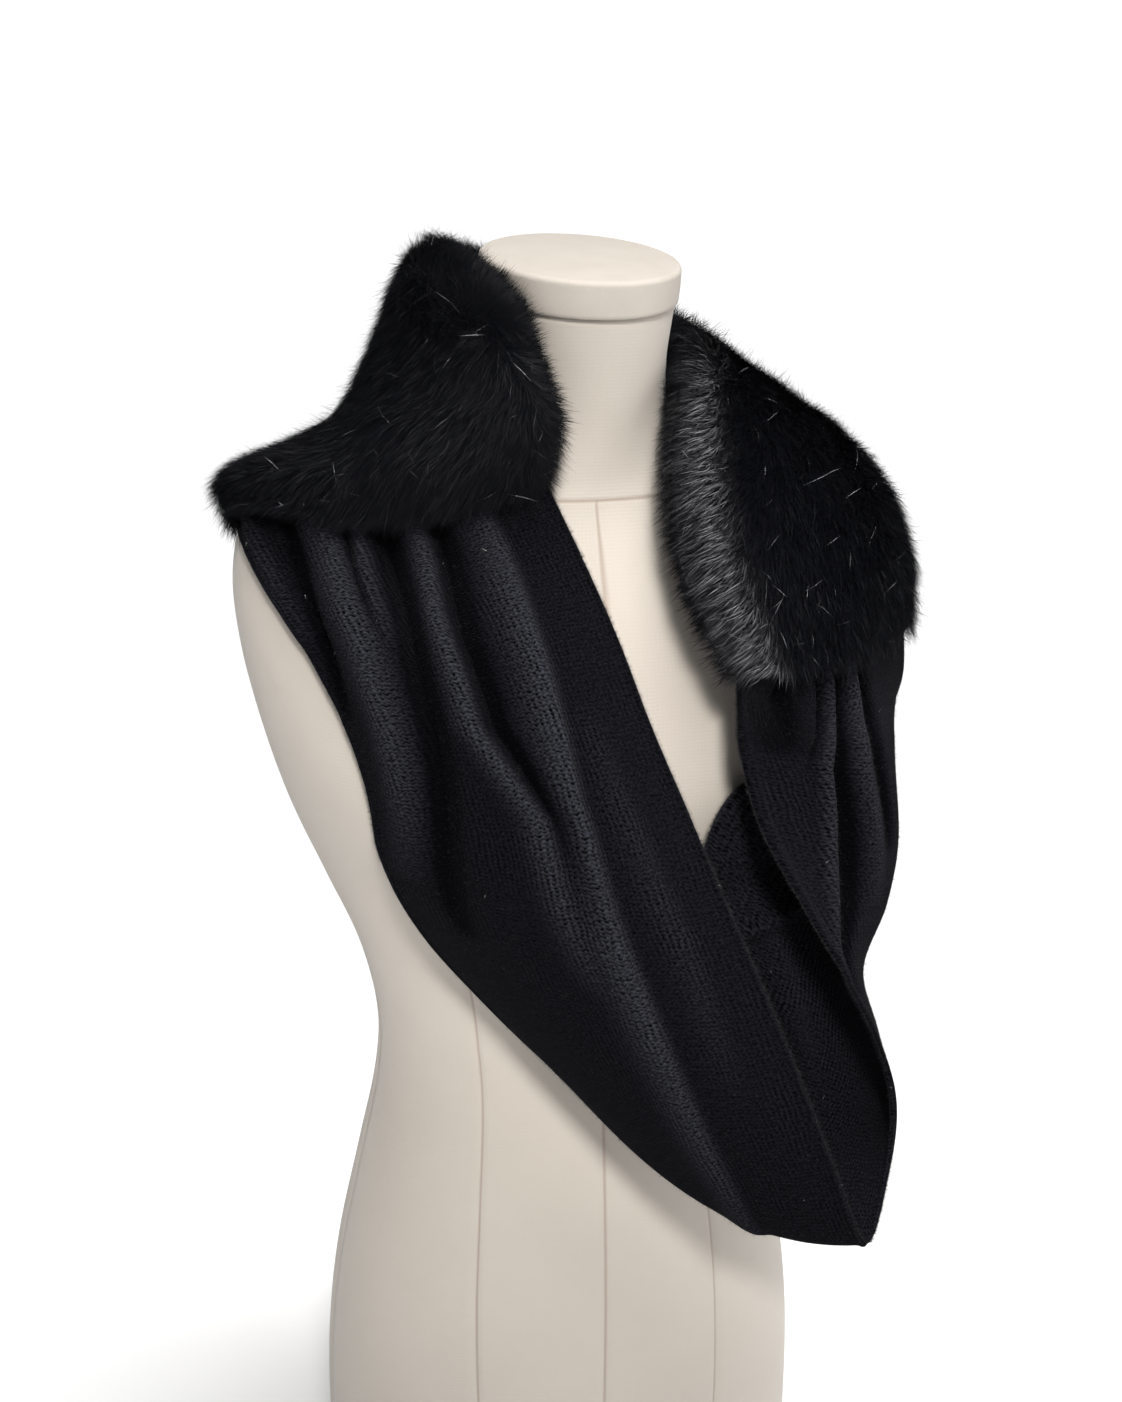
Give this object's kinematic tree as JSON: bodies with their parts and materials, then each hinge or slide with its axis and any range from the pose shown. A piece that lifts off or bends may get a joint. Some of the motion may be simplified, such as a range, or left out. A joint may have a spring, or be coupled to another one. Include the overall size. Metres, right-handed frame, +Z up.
{
  "type": "infinity scarf on a limbless dress form",
  "caption": "Looped scarf: a knitted band hangs as a deep cowl below a long-haired fur collar, worn on a covered torso dress form with a flat base.",
  "frame": {"origin": "middle of the bounding box, on the surface that the form's flat base stands on", "axes": "+Z up; the dress form faces -Y; +X is the form's left side"},
  "size_m": [0.4048, 0.3332, 0.775],
  "materials": {
    "linen_cover": "matte linen weave over padding",
    "cap_cover": "matte cotton over a rigid plate",
    "black_wool_knit": "matte fuzzy stockinette knit",
    "black_fur": "dense long-haired fur with a soft gloss"
  },
  "bodies": {
    "root": {"form_body": "linen_cover", "form_neck_cap": "cap_cover", "knit_falling_stretch": "black_wool_knit", "knit_rising_stretch": "black_wool_knit", "fur_right_shoulder": "black_fur", "fur_back_of_neck": "black_fur", "fur_left_shoulder": "black_fur"}
  },
  "joints": []
}
